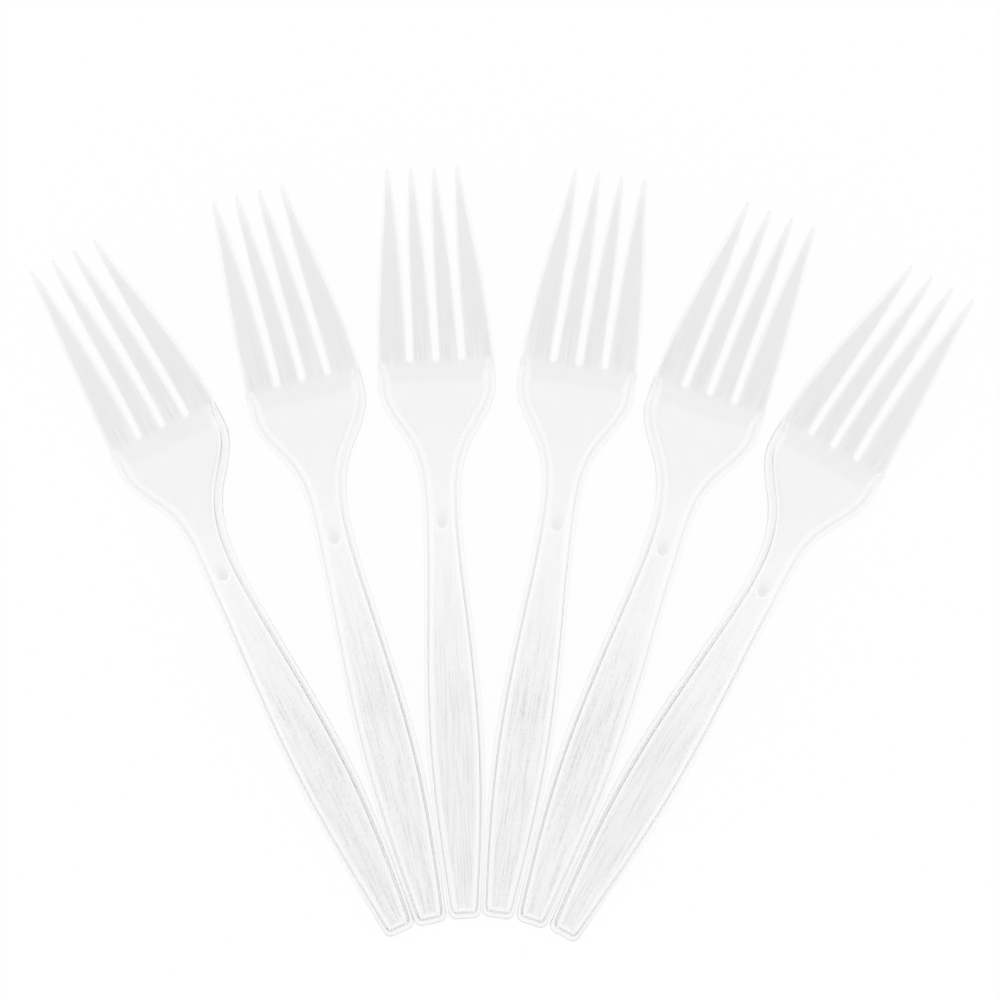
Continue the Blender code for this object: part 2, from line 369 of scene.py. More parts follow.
def distance_to(line, points):
    """From each point to the nearest part of a closed line."""
    run = np.roll(line, -1, axis=0) - line
    length = (run**2).sum(axis=1)
    nearest = []
    for some in np.array_split(points, len(points) // POINTS_AT_ONCE + 1):
        offset = some[:, None] - line
        share = np.clip((offset * run).sum(axis=2) / length, 0, 1)
        nearest.append(np.sqrt(((offset - share[..., None] * run) ** 2).sum(axis=2)).min(axis=1))
    return np.concatenate(nearest)


inside_way, side_share = inward(outline)
print("smallest share, at the sharpest turn:", round(float(side_share.min()), 3))

# %% Copy the outline inwards
TINE_START = 133.2 * MM
TINE_FULL = 138.6 * MM
OUTER_DRAFT = 1.5
SLOT_DRAFT = 1.25

tine_blend = np.where(in_slot, 1.0, smooth_step(TINE_START, TINE_FULL, outline[:, 1]))
widened = np.where(in_slot, SLOT_DRAFT, OUTER_DRAFT)
tine_insets = (tine_draft(outline[:, 1]) * widened)[:, None] * TINE_LOOPS
along_bead = bead_insets(outline[:, 1])
insets = along_bead + (tine_insets - along_bead) * tine_blend[:, None]
copies = outline[:, None] + inside_way[:, None] * insets[..., None]
print("copies of the outline:", insets.shape[1], "points in each:", insets.shape[0])

# %% Leave out copies that come too near to another side
OWN_EDGE_SHARE = 0.9995
SHORTEST_COPY = 0.2
EVENING_PASSES = 3


def own_copies():
    """True for a copied point that is nearest to its own side, between copied sides that are long enough."""
    to_edge = distance_to(outline, copies.reshape(-1, 2)).reshape(insets.shape)
    side = np.roll(outline, -1, axis=0) - outline
    copied_side = np.roll(copies, -1, axis=0) - copies
    kept_length = (copied_side * side[:, None]).sum(axis=2) / (side**2).sum(axis=1)[:, None]
    long_enough = (kept_length > SHORTEST_COPY) & (np.roll(kept_length, 1, axis=0) > SHORTEST_COPY)
    return (to_edge >= OWN_EDGE_SHARE * side_share[:, None] * insets) & long_enough


def evened(last_loop):
    """Takes off single copies that stand out, and also gives the last loop that neighbours share."""
    for _ in range(EVENING_PASSES):
        shared = np.minimum(last_loop, np.roll(last_loop, -1))
        last_loop = np.minimum(last_loop, np.maximum(shared, np.roll(shared, 1)))
    return last_loop, shared


last_loop, shared = evened(np.logical_and.accumulate(own_copies(), axis=1).sum(axis=1) - 1)
print("loops kept, fewest and most:", last_loop.min(), last_loop.max())

# %% [markdown]
# ## Fill what the loops leave open
#
# The loops make a band of clean four-sided faces. Inside it lie the panel, the head and the middles of
# the tines. One large face would fill them, but it couldn't bend with the arch of the neck and the dish
# of the head. So we put a loose grid of points there and let Blender join them by triangles that are as
# even as possible. At the neck there is a small round mark, where the plastic was let into the mould.
# Two rings of points keep its edge crisp.

# %% Points inside the loops
GRID_STEP = 1.3 * MM
GRID_MARGIN = 0.5 * MM
GRID_HALF_COLUMNS = 12
MARK_PLACE = 97.3 * MM
MARK_RADIUS = 1.3 * MM
MARK_EDGE = 0.12 * MM
MARK_SIDES = 40


def panel_grid():
    """Points inside the loops, on a grid with every other row moved over."""
    grid = []
    for row, at in enumerate(np.arange(CORNER_REACH, SLOTS, GRID_STEP)):
        columns = np.arange(-GRID_HALF_COLUMNS, GRID_HALF_COLUMNS + 1) + 0.5 * (row % 2)
        grid += [(across * GRID_STEP, at) for across in columns]
    grid = np.array(grid)
    grid = grid[np.abs(grid[:, 0]) < half_width(grid[:, 1])]
    blend = smooth_step(TINE_START, TINE_FULL, grid[:, 1])
    beads = bead_insets(grid[:, 1])[:, -1]
    need = beads * (1 - blend) + TINE_DRAFT * TINE_LOOPS[-1] * blend + GRID_MARGIN
    off_mark = np.hypot(grid[:, 0], grid[:, 1] - MARK_PLACE) > MARK_RADIUS + MARK_EDGE
    return grid[(distance_to(outline, grid) > need) & off_mark]


def mark_rings():
    """The round mark's outer and inner ring, and its middle."""
    turns = np.arange(MARK_SIDES) * 2 * math.pi / MARK_SIDES
    ring = np.column_stack([np.cos(turns), np.sin(turns)])
    middle = np.array((0.0, MARK_PLACE))
    return np.concatenate([middle + ring * MARK_RADIUS, middle + ring * (MARK_RADIUS - MARK_EDGE), [middle]])


grid, rings = panel_grid(), mark_rings()
print("points in the grid:", len(grid), "and in the round mark:", len(rings))

# %% Number the points, loops first
first = np.concatenate([[0], np.cumsum(last_loop + 1)])[:-1]
band = [(n, k) for n in range(len(outline)) for k in range(last_loop[n] + 1)]
band_point, band_loop = np.array(band).T
plan = np.concatenate([copies[band_point, band_loop], grid, rings])
print("points in the loops:", len(band), "and in the whole blank:", len(plan))

# %% Fill the inside with triangles
# 1 asks for triangles inside the border only, and points this near in mm count as one
FILL_INSIDE = 1
SAME_POINT = 1e-6


def innermost_line():
    """Numbers of the points round the loops' inner edge, with steps where the number of loops changes."""
    line = []
    for n in range(len(outline)):
        low, high = shared[n - 1], shared[n]
        way = range(low, high + 1) if high >= low else range(low, high - 1, -1)
        line += [first[n] + k for k in way]
    return line


def filling_triangles():
    """Triangles inside the loops, as point numbers, and how many new points they would need."""
    inner = innermost_line()
    chosen = inner + list(range(len(band), len(plan)))
    ring_start = len(inner) + len(grid)
    ring_edges = []
    for start in (ring_start, ring_start + MARK_SIDES):
        ring_edges += [(start + n, start + (n + 1) % MARK_SIDES) for n in range(MARK_SIDES)]
    border = [list(range(len(inner)))]
    places = [Vector(plan[n] / MM) for n in chosen]
    result = geometry.delaunay_2d_cdt(places, ring_edges, border, FILL_INSIDE, SAME_POINT)
    triangles, sources = result[2], result[3]
    came_from = [chosen[source[0]] if source else None for source in sources]
    return [tuple(came_from[corner] for corner in face) for face in triangles], came_from.count(None)


filling, crossings = filling_triangles()
print("triangles inside the loops:", len(filling), "new crossings:", crossings)

# %% [markdown]
# ## A flat blank that remembers where each point is
#
# Next we join the points into a flat, closed skin: a top, a bottom and a rim between them, all still at
# height zero. Each point also gets a few numbers, called attributes: how far along and across the fork
# it is, how far in from the edge, and how much it belongs to the tines. The pressing rule that comes
# next reads them, and later the material does too. Keeping the place in the mesh and the meaning in
# attributes is what makes one rule serve a shape with this many different parts.

# %% The blank's faces
def loop_faces():
    """Four-sided faces between neighbouring points of neighbouring loops."""
    found = []
    for n in range(len(outline)):
        after = (n + 1) % len(outline)
        for k in range(shared[n]):
            found.append((first[n] + k, first[after] + k, first[after] + k + 1, first[n] + k + 1))
    return found


count = len(plan)
faces = loop_faces() + filling
back = [tuple(corner + count for corner in reversed(face)) for face in faces]
rim = [(first[n], first[n - 1], first[n - 1] + count, first[n] + count) for n in range(len(outline))]
print("faces on one side:", len(faces), "and round the rim:", len(rim))

# %% What each point remembers
TOP_FACE, BACK_FACE = 1.0, 0.0
FAR_IN = 5 * MM
PAST_DRAFT = 3.0
SLOPE_SPAN = 0.1 * MM
LEANING_TINES = (SLOTS + 5 * MM, TIP - 10 * MM)


def spread(on_band, inside_value):
    """One value for each point of the blank: the loops' own values, then the filling's."""
    inside = np.full(count - len(band), inside_value)
    return np.tile(np.concatenate([on_band, inside]), 2)


def spine_slope(at):
    """How steeply the side view climbs."""
    return (through(SIDE_VIEW, at) - through(SIDE_VIEW, at - SLOPE_SPAN)) / SLOPE_SPAN


flat = np.column_stack([np.tile(plan, (2, 1)), np.zeros(2 * count)])
on_mark = np.zeros(count)
on_mark[-MARK_SIDES - 1:] = 1.0
POINT_VALUES = {
    "across": flat[:, 0],
    "along": flat[:, 1],
    "inset": spread(insets[band_point, band_loop], FAR_IN),
    "edge_in": spread(BEAD_LOOPS[band_loop], FAR_IN),
    "draft_in": spread(TINE_LOOPS[band_loop], PAST_DRAFT),
    "tine_blend": spread(tine_blend[band_point], 1.0),
    "core": spread(in_slot[band_point].astype(float), 1.0),
    "top": np.repeat((TOP_FACE, BACK_FACE), count),
    "mark": np.concatenate([on_mark, np.zeros(count)]),
    "spine": through(SIDE_VIEW, flat[:, 1]),
    "lean": spine_slope(flat[:, 1]) * smooth_step(*LEANING_TINES, flat[:, 1]),
}
print("numbers for each point:", sorted(POINT_VALUES))

# %% The blank as a mesh
blank = bpy.data.meshes.new("fork_blank")
blank.from_pydata(flat.tolist(), [], faces + back + rim)
for label, values in POINT_VALUES.items():
    blank.attributes.new(label, "FLOAT", "POINT").data.foreach_set("value", values.astype(np.float32))
print("faces in the blank:", len(blank.polygons), "problems:", blank.validate(verbose=True))

# %% [markdown]
# ## A small helper for node trees
#
# A rule in Geometry Nodes is a sum drawn as boxes and wires. Written as code it soon becomes unreadable,
# so this helper lets us write each box as one short call. Every size is a named input of the tree, which
# can be changed in the modifier's panel like a slider.

# %% Write trees as sums
class Tree:
    """A node tree with named inputs, built one call at a time."""

    def __init__(self, name, kind, inputs, outputs):
        self.tree = bpy.data.node_groups.new(name, kind)
        for label, socket in inputs:
            self.tree.interface.new_socket(label, in_out="INPUT", socket_type="NodeSocket" + socket)
        for label, socket in outputs:
            self.tree.interface.new_socket(label, in_out="OUTPUT", socket_type="NodeSocket" + socket)
        self.given = self.tree.nodes.new("NodeGroupInput").outputs
        self.result = self.tree.nodes.new("NodeGroupOutput").inputs

    def put(self, value, socket):
        """Sets a socket to a plain value, or wires it to another box."""
        if isinstance(value, bpy.types.NodeSocket):
            self.tree.links.new(value, socket)
        else:
            socket.default_value = value

    def box(self, kind, out=0, settings=(), **inputs):
        """One box. Its inputs are given by place, as i0, i1 and so on, or by name."""
        node = self.tree.nodes.new(kind)
        for label, value in dict(settings).items():
            setattr(node, label, value)
        for label, value in inputs.items():
            spot = int(label[1:]) if label[1:].isdigit() else label.replace("_", " ")
            self.put(value, node.inputs[spot])
        return node.outputs[out]

    def math(self, operation, first_value, second_value=0.0):
        return self.box("ShaderNodeMath", settings={"operation": operation}, i0=first_value, i1=second_value)

    def times(self, first_value, second_value):
        return self.math("MULTIPLY", first_value, second_value)

    def plus(self, first_value, second_value):
        return self.math("ADD", first_value, second_value)

    def minus(self, first_value, second_value):
        return self.math("SUBTRACT", first_value, second_value)

    def ramp(self, value, start, end, low=0.0, high=1.0, smooth=True):
        kind = {"interpolation_type": "SMOOTHSTEP" if smooth else "LINEAR"}
        return self.box("ShaderNodeMapRange", settings=kind, i0=value, i1=start, i2=end, i3=low, i4=high)

    def mix(self, share, low, high):
        return self.plus(low, self.times(share, self.minus(high, low)))

    def point(self, label):
        """A point's own attribute, in Geometry Nodes."""
        return self.box("GeometryNodeInputNamedAttribute", settings={"data_type": "FLOAT"}, i0=label)


print("boxes can be wired")

# %% [markdown]
# ## Press the blank into a fork
#
# This is the rule of the real mould, read from the edge inwards. The lip is 0.9 mm thick. Then a steep
# wall rises to the crest of the bead, and a slope comes down to the panel. On the back, a groove runs
# under the bead, so that the plastic is nowhere too thick to cool evenly. Towards the shoulder all this
# fades out, and the tines take over: 1.7 mm thick at their roots, 1 mm at their tips, with sloped
# sides. Last, the whole section is lifted to the side view's curve, and the head gets its slight dish.
# On the steep tines the section also leans back, so that it stands square to the curve. Without that,
# the end of each tine would be a sharp wedge that traps the light and looks black. We could carve all
# this by hand, but a rule can be corrected by a tenth of a millimetre, and clear plastic shows as much.

# %% Sizes of the section
PRESS_SIZES = {
    "Lip thickness": 0.9 * MM,
    "Bead height": 1.88 * MM,
    "Neck bead height": 1.75 * MM,
    "Fading bead height": 1.4 * MM,
    "Bead wall": 1.1 * MM,
    "Panel thickness": 1.25 * MM,
    "Edge rounding": 0.22 * MM,
    "Back rounding": 0.12 * MM,
    "Root thickness": 1.7 * MM,
    "Tip thickness": 1.0 * MM,
    "Tip thinning": 0.3 * MM,
    "Tine land": 0.35 * MM,
    "Head dish": 0.8 * MM,
    "Mark depth": 0.12 * MM,
}
WALL_FILLET = 0.07 * MM
SLOPE_FILLET = 0.04 * MM
DRAFT_FILLET = 0.2
LOWER_BEAD = (72 * MM, 98 * MM)
BEAD_FADES = (122 * MM, 137 * MM)
THIN_TIP = 4 * MM
print("named sizes of the mould:", len(PRESS_SIZES))

# %% The bead and the groove under it
def rounding(rule, radius):
    """How far an edge is cut back, as a quarter round."""
    out = rule.minus(1.0, rule.ramp(rule.point("inset"), 0.0, radius, smooth=False))
    rise = rule.math("SQRT", rule.minus(1.0, rule.times(out, out)))
    return rule.times(radius, rule.minus(1.0, rise))


def bead_slope(rule):
    """0 on the crest and 1 on the panel, half of it straight and half an S."""
    edge_in, ends = rule.point("edge_in"), (CREST_END - SLOPE_FILLET, PANEL_START + SLOPE_FILLET)
    return rule.times(rule.plus(rule.ramp(edge_in, *ends, smooth=False), rule.ramp(edge_in, *ends)), 0.5)


def bead_section(rule, size):
    """Two heights: the top of the lip, bead and panel, and the groove on the back."""
    along, slope = rule.point("along"), bead_slope(rule)
    bead = rule.ramp(along, *LOWER_BEAD, size["Bead height"], size["Neck bead height"])
    bead = rule.mix(rule.ramp(along, *BEAD_FADES), bead, size["Fading bead height"])
    wall = rule.ramp(rule.point("edge_in"), LIP_WIDTH - WALL_FILLET, CREST_START + WALL_FILLET)
    up = rule.times(wall, rule.minus(bead, size["Lip thickness"]))
    down = rule.times(slope, rule.minus(bead, size["Panel thickness"]))
    top = rule.minus(rule.plus(size["Lip thickness"], up), down)
    groove = rule.times(rule.minus(wall, slope), rule.minus(bead, size["Bead wall"]))
    return rule.minus(top, rounding(rule, size["Edge rounding"])), groove


print("the bead's section is written")

# %% The tines
def tine_section(rule, size):
    """The height of the tines' tops, which starts from the head's panel."""
    along = rule.point("along")
    tine = rule.ramp(along, SLOTS, TIP, size["Root thickness"], size["Tip thickness"], smooth=False)
    tine = rule.minus(tine, rule.ramp(along, TIP - THIN_TIP, TIP, 0.0, size["Tip thinning"]))
    to_tine = rule.ramp(along, TINE_START, TINE_FULL)
    core = rule.mix(rule.point("core"), tine, rule.mix(to_tine, size["Panel thickness"], tine))
    # A short parabola rounds the turn from the sloped side to the face
    lean = rule.math("MINIMUM", rule.point("draft_in"), 1 + DRAFT_FILLET)
    over = rule.math("MAXIMUM", rule.minus(lean, 1 - DRAFT_FILLET), 0.0)
    lean = rule.minus(lean, rule.times(rule.times(over, over), 1 / (4 * DRAFT_FILLET)))
    return rule.mix(lean, size["Tine land"], core)


print("the tines' section is written")

# %% The pressing rule
def press_tree():
    """The rule that gives every point of the blank its height."""
    sizes = [(label, "Float") for label in PRESS_SIZES]
    rule = Tree("press_fork", "GeometryNodeTree", [("Blank", "Geometry"), *sizes], [("Fork", "Geometry")])
    size, point = rule.given, rule.point
    blend = point("tine_blend")
    bead, groove = bead_section(rule, size)
    top = rule.mix(blend, bead, tine_section(rule, size))
    top = rule.minus(top, rule.times(point("mark"), size["Mark depth"]))
    bottom = rule.plus(rule.times(groove, rule.minus(1.0, blend)), rounding(rule, size["Back rounding"]))
    section = rule.mix(point("top"), bottom, top)

    out = rule.times(point("across"), 2 / SHOULDER_WIDTH)
    on_head = rule.ramp(point("along"), NECK, SHOULDER)
    dish = rule.times(rule.times(out, out), rule.times(size["Head dish"], on_head))
    height = rule.plus(rule.plus(point("spine"), dish), section)
    back = rule.times(rule.times(point("lean"), section), -1.0)
    lift = rule.box("ShaderNodeCombineXYZ", Y=back, Z=height)
    moved = rule.box("GeometryNodeSetPosition", Geometry=size["Blank"], Offset=lift)
    rule.put(moved, rule.result["Fork"])
    return rule.tree


press = press_tree()
print("boxes in the pressing rule:", len(press.nodes))

# %% Press the blank
def apply_tree(name, mesh, tree, values):
    """Runs a tree on a mesh with the named values, and gives back a plain mesh."""
    carrier = bpy.data.objects.new(name, mesh)
    bpy.context.scene.collection.objects.link(carrier)
    modifier = carrier.modifiers.new("rule", "NODES")
    modifier.node_group = tree
    for item in tree.interface.items_tree:
        if item.in_out == "INPUT" and item.name in values:
            modifier[item.identifier] = values[item.name]
    graph = bpy.context.evaluated_depsgraph_get()
    made = bpy.data.meshes.new_from_object(carrier.evaluated_get(graph))
    bpy.data.objects.remove(carrier, do_unlink=True)
    made.name = name
    return made


fork = apply_tree("pressed_fork", blank, press, PRESS_SIZES)
heights = np.array([vertex.co.z for vertex in fork.vertices])
print("fork's height in mm:", round(float(heights.min()) / MM, 2), "to", round(float(heights.max()) / MM, 2))

# %% [markdown]
# ## A map for the plastic's marks
#
# The streaks in the plastic run lengthwise on each fork, so the material must know each fork's own
# directions. Object coordinates are the table's directions here, and would draw the streaks the same
# way on six forks that point six ways. A UV map is the fork's own: U runs across it and V along it.
# Both use the same scale, so a streak keeps its width everywhere.

# %% The fork's own map
MAP_SIZE = 200 * MM
MAP_START = (0.5, 0.05)
uv = fork.uv_layers.new(name="fork_map")
corner_point = np.zeros(len(fork.loops), np.int32)
fork.loops.foreach_get("vertex_index", corner_point)
place = np.array([vertex.co[:2] for vertex in fork.vertices])[corner_point]
uv.data.foreach_set("uv", ((place / MAP_SIZE) + MAP_START).astype(np.float32).ravel())
print("corners on the map:", len(uv.data))

# %% [markdown]
# ## Clear plastic with a mould's marks
#
# Polystyrene is as clear as window glass, but a cheap fork isn't polished. The flat parts carry faint
# streaks and a fine grain from the mould, and only the bead and the edges are smooth and bright. An
# image could carry such marks, but noise needs no file and stays sharp from near by. One shared group
# of nodes makes them. Each fork's own material gives the group its own seed, because no two forks are
# cooled exactly alike.

# %% The marks, as a shared node group
MARK_INPUTS = [
    ("Map", "Vector"),
    ("Seed", "Float"),
    ("Grain size", "Float"),
    ("Streak width", "Float"),
    ("Streak length", "Float"),
]
STREAK_DETAIL = 3.0
GRAIN_DETAIL = 2.0


def marks_group():
    """Streaks and grain of a moulded face, as two masks round 0.5."""
    group = Tree("mould_marks", "ShaderNodeTree", MARK_INPUTS, [("Streaks", "Float"), ("Grain", "Float")])
    given, flow = group.given, {"noise_dimensions": "3D"}
    split = group.tree.nodes.new("ShaderNodeSeparateXYZ")
    group.put(given["Map"], split.inputs[0])
    across = group.math("DIVIDE", split.outputs[0], given["Streak width"])
    along = group.math("DIVIDE", split.outputs[1], given["Streak length"])
    drawn = group.box("ShaderNodeCombineXYZ", X=across, Y=along, Z=given["Seed"])
    streaks = group.box("ShaderNodeTexNoise", settings=flow, Vector=drawn, Scale=1.0, Detail=STREAK_DETAIL)
    fine = group.math("DIVIDE", 1.0, given["Grain size"])
    spots = group.box("ShaderNodeCombineXYZ", X=split.outputs[0], Y=split.outputs[1], Z=given["Seed"])
    grain = group.box("ShaderNodeTexNoise", settings=flow, Vector=spots, Scale=fine, Detail=GRAIN_DETAIL)
    group.put(streaks, group.result["Streaks"])
    group.put(grain, group.result["Grain"])
    return group.tree


marks = marks_group()
print("the group puts out:", [s.name for s in marks.interface.items_tree if s.in_out == "OUTPUT"])

# %% [markdown]
# ## A helper for materials
#
# The material is written as sums too, with the same calls as the pressing rule. It needs three more of
# them: one to read an attribute that we stored in the mesh, one for a band between two places, and one
# for a list of tones. A colour ramp in the shader editor is such a list, and it can be changed by hand.

# %% Write a material as sums
class Finish(Tree):
    """A material's own nodes, written the same way as a tree."""

    def __init__(self, material):
        material.use_nodes = True
        self.tree = material.node_tree

    def attribute(self, label):
        return self.box("ShaderNodeAttribute", out=2, settings={"attribute_name": label})

    def band(self, value, start, end, edge):
        """1 from start to end, with an even edge outside them."""
        return self.times(self.ramp(value, start - edge, start), self.ramp(value, end + edge, end))

    def tones(self, value, stops):
        """A grey for each place between stops of (place, tone)."""
        ramp = self.tree.nodes.new("ShaderNodeValToRGB")
        points = ramp.color_ramp.elements
        for _ in range(len(stops) - 2):
            points.new(0.5)
        for point, (place, tone) in zip(points, stops):
            point.position = place
            point.color = (tone, tone, tone, 1.0)
        self.put(value, ramp.inputs[0])
        return ramp.outputs[0]


print("a material can be written as sums")

# %% [markdown]
# ## Painted shade on the plastic
#
# Clear plastic looks only a little darker than the table, and not everywhere alike: the head and the
# tines look a shade darker than the handle, and the middle of the handle is the brightest part. These
# shades are painted, by two short lists of tones, one along the fork and one inwards from its edge. The
# second paints a thin dark line on the outer edge, and a line of painted shade round the handle's end,
# where it lies on the table and is seen a little from the side.

# %% Painted shade tones
# Painted shade along the fork: darker tones at the handle's end and on the tines, lightest in the middle of
# the handle
PAINTED_FACE_SHADES = (
    (0.0, 0.947), (0.3, 0.967), (0.42, 0.995), (0.48, 0.997), (0.56, 0.995), (0.7335, 0.993),
    (0.736, 0.955), (0.757, 0.955), (0.768, 0.9), (0.82, 0.887), (0.96, 0.885), (1.0, 1.0),
)
# Painted shade inwards from the edge: a thin dark line on the outer edge, and the lip a hair darker than the
# bead
PAINTED_EDGE_SHADES = ((0.0, 0.93), (0.04, 0.99), (0.27, 0.99), (0.32, 1.0), (1.0, 1.0))
EDGE_SPAN = 4 * MM
TINE_SIDE_TONE = 1.0
# A line of painted shade round the handle's end, where it lies on the table
END_SHADE_TONE = 0.22
END_SHADE_WIDTH = 0.3 * MM
END_SHADE_REACH = 16 * MM


def painted_edge_shade(look, edge_in, along, blend):
    """The lip's and the bead's painted shade: a thin dark line on the outer edge, and a deeper line of
    painted shade round the handle's end.
    """
    edge = look.tones(look.times(edge_in, 1 / EDGE_SPAN), PAINTED_EDGE_SHADES)
    # The painted line of shade round the handle's end
    line = look.ramp(edge_in, END_SHADE_WIDTH, END_SHADE_WIDTH / 3)
    line = look.times(line, look.ramp(along, END_SHADE_REACH, 0.0))
    return look.mix(blend, look.minus(edge, look.times(line, END_SHADE_TONE)), TINE_SIDE_TONE)


print("face tones along the fork:", [(round(at * TIP / MM), tone) for at, tone in PAINTED_FACE_SHADES])

# %% [markdown]
# ## Where the streaks are
#
# On these forks the streaks and the grain are strongest on the handle and fade out towards the neck.
# The streaks come back at the roots of the tines, where the plastic had to flow round the slots. Both
# are small changes of tone, brighter and darker by about the same amount, so the panel keeps its shade.
# They could change the roughness too, but the tone alone is what the camera sees from above.

# %% Streaks and grain
STREAK_TONE = 0.85
GRAIN_TONE = 0.7
SMOOTHER = (102 * MM, 60 * MM)
ROOT_STREAKS = (134 * MM, 139 * MM, 154 * MM)
ROOT_STREAK_SHARE = 0.42


def streaked(look, along, streaks, grain):
    """Streaks and grain on the handle up to the neck, and streaks again at the tines' roots."""
    rough_end = look.ramp(along, *SMOOTHER, smooth=False)
    start, full, end = ROOT_STREAKS
    at_roots = look.times(look.ramp(along, start, full), look.ramp(along, end, full, 0.0, ROOT_STREAK_SHARE))
    streaks = look.times(look.minus(streaks, 0.5), look.math("MAXIMUM", rough_end, at_roots))
    grain = look.times(look.minus(grain, 0.5), rough_end)
    return look.plus(look.times(streaks, STREAK_TONE), look.times(grain, GRAIN_TONE))


print("streaks at the roots in mm:", [round(at / MM) for at in ROOT_STREAKS])

# %% [markdown]
# ## The mark at the neck
#
# The plastic was let into the mould at the neck, and was broken off there. That leaves a round spot a
# little deeper than the panel. We have given it an edge in the mesh. The shade in it, with a short tail
# towards the head, and the bright arc on its near side are easier to paint than to model, so two masks
# paint them: painted shade in the spot, and a painted highlight on the arc.

# %% The mark's masks
# Painted shade in the round mark and its tail, and the painted highlight of a crescent on its near side
MARK_SHADE_TONE = -0.09
MARK_TAIL = 2.2 * MM
TAIL_SHARE = 0.3
MARK_FADE = 0.15 * MM
HIGHLIGHT_ARC_WIDTH = 0.4 * MM
HIGHLIGHT_ARC_FADE = 0.1 * MM


def neck_mark(look, along):
    """Two masks: the mark's painted shade with its tail to the head, and the painted highlight of a crescent
    at its near side.
    """
    across, before = look.attribute("across"), look.minus(MARK_PLACE, along)
    past = look.math("MAXIMUM", before, look.minus(-MARK_TAIL, before))
    past = look.math("MAXIMUM", past, 0.0)
    off = look.math("SQRT", look.plus(look.times(across, across), look.times(past, past)))
    tail = look.ramp(before, -MARK_TAIL - MARK_RADIUS / 2, 0.0, TAIL_SHARE, 1.0)
    inside = look.times(look.ramp(off, MARK_RADIUS, MARK_RADIUS - MARK_FADE), tail)
    # The painted highlight: a bright crescent just outside the mark, on the side towards the handle
    painted_highlight_arc = look.band(off, MARK_RADIUS + HIGHLIGHT_ARC_FADE / 2, MARK_RADIUS + HIGHLIGHT_ARC_WIDTH, HIGHLIGHT_ARC_FADE)
    return inside, look.times(painted_highlight_arc, look.ramp(before, 0.0, MARK_RADIUS / 2))


print("mark with its tail in mm:", round((2 * MARK_RADIUS + MARK_TAIL) / MM, 1))

# %% [markdown]
# ## The plastic itself
#
# Each fork gets a glassy material: full transmission, the refraction of polystyrene, and a little
# roughness. The roughness does more than the colour. On the polished crest the table shines through
# clearly, on the steep wall the light scatters and the wall turns into a soft dark line, and the
# panels look frosted. We could build this from two shaders and mix them, but one shader whose roughness
# follows the section stays simple and can be reused everywhere.

# %% How rough each part is
EDGE_ROUGHNESS = 0.12
WALL_ROUGHNESS = 0.28
FACE_ROUGHNESS = 0.28
ARC_ROUGHNESS = 0.05
WALL_FADE = 0.17 * MM


def roughness(look, edge_in, blend, on_face, painted_highlight_arc):
    """Rough on the faces, on the bead's steep wall and where the bead turns into the tines."""
    # The product is a quarter midway through the change, so four times it is 1 there
    on_turn = look.times(look.times(blend, look.minus(1.0, blend)), 4.0)
    on_wall = look.times(look.band(edge_in, LIP_WIDTH, CREST_START, WALL_FADE), look.minus(1.0, blend))
    edge = look.mix(look.math("MAXIMUM", on_wall, on_turn), EDGE_ROUGHNESS, WALL_ROUGHNESS)
    return look.mix(on_face, edge, look.mix(painted_highlight_arc, FACE_ROUGHNESS, ARC_ROUGHNESS))


print("roughness of edge, wall and face:", EDGE_ROUGHNESS, WALL_ROUGHNESS, FACE_ROUGHNESS)

# %% The marks of one fork
MARK_SIZES = {
    "Grain size": 0.3 * MM / MAP_SIZE,
    "Streak width": 0.35 * MM / MAP_SIZE,
    "Streak length": 14 * MM / MAP_SIZE,
}
SEED_STEP = 7.3


def fork_marks(look, number):
    """The shared group in one fork's material, with the fork's own seed."""
    fork_map = look.tree.nodes.new("ShaderNodeUVMap")
    fork_map.uv_map = "fork_map"
    group = look.tree.nodes.new("ShaderNodeGroup")
    group.node_tree = marks
    for label, value in {"Map": fork_map.outputs[0], "Seed": SEED_STEP * number, **MARK_SIZES}.items():
        look.put(value, group.inputs[label])
    return group.outputs["Streaks"], group.outputs["Grain"]


print("sizes of the marks as shares of the map:", {k: round(v, 5) for k, v in MARK_SIZES.items()})

# %% The plastic
FACE_START = 2.55 * MM
TINE_FACE = (0.85, 1.1)
LATE_BLEND = (0.7, 0.97)
BUMP_STRENGTH = 0.4
BUMP_DEPTH = 0.03 * MM
REFRACTION = 1.55


